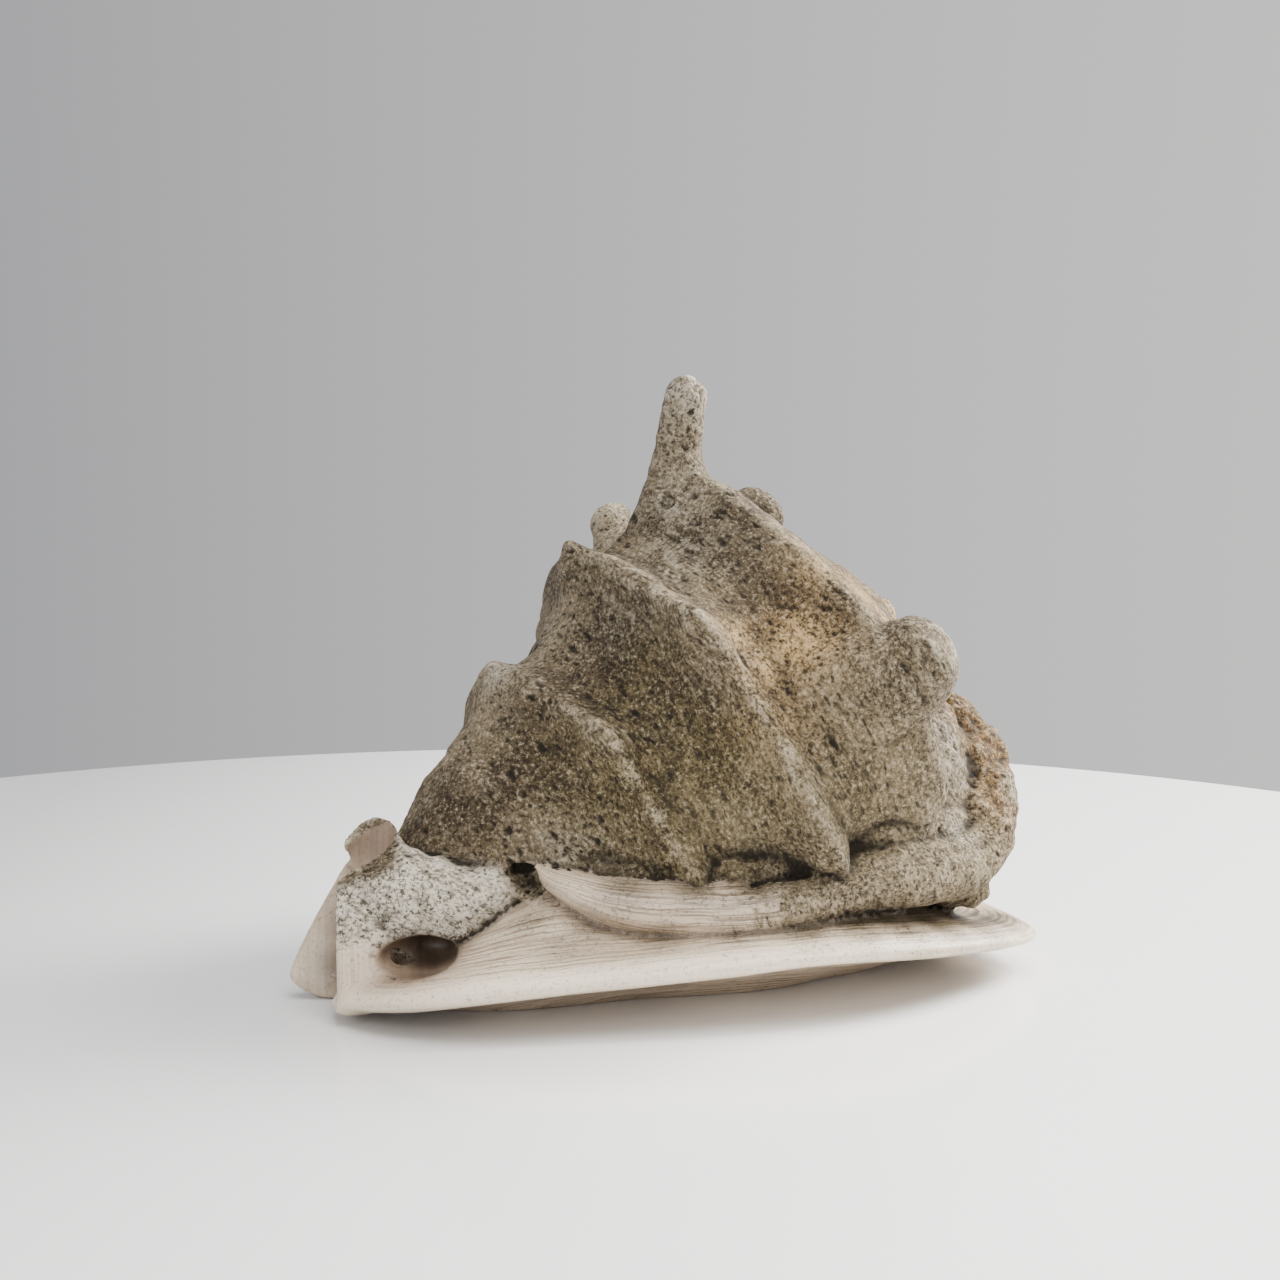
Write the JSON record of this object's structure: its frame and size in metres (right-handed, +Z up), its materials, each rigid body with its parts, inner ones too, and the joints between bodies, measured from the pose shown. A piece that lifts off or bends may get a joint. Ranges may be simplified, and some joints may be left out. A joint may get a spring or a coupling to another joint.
{
  "type": "horned helmet shell",
  "caption": "Large weathered sea snail shell lying on its mouth: conical knobbed whorl with blunt horns, broad smooth shield, rolled old lip, upturned canal and slit mouth below.",
  "frame": {"origin": "on the floor under the middle of the shell's bounding box", "axes": "+X from the upturned siphon canal towards the spire, +Y towards the outer lip side, away from the broad shield, +Z up out of the surface the shell lies on"},
  "size_m": [0.2688, 0.1952, 0.2148],
  "materials": {
    "shell": "chalky, pitted and weathered, with smooth cream porcelain-like lips"
  },
  "bodies": {
    "root": {"helmet_shell": "shell"}
  },
  "joints": []
}
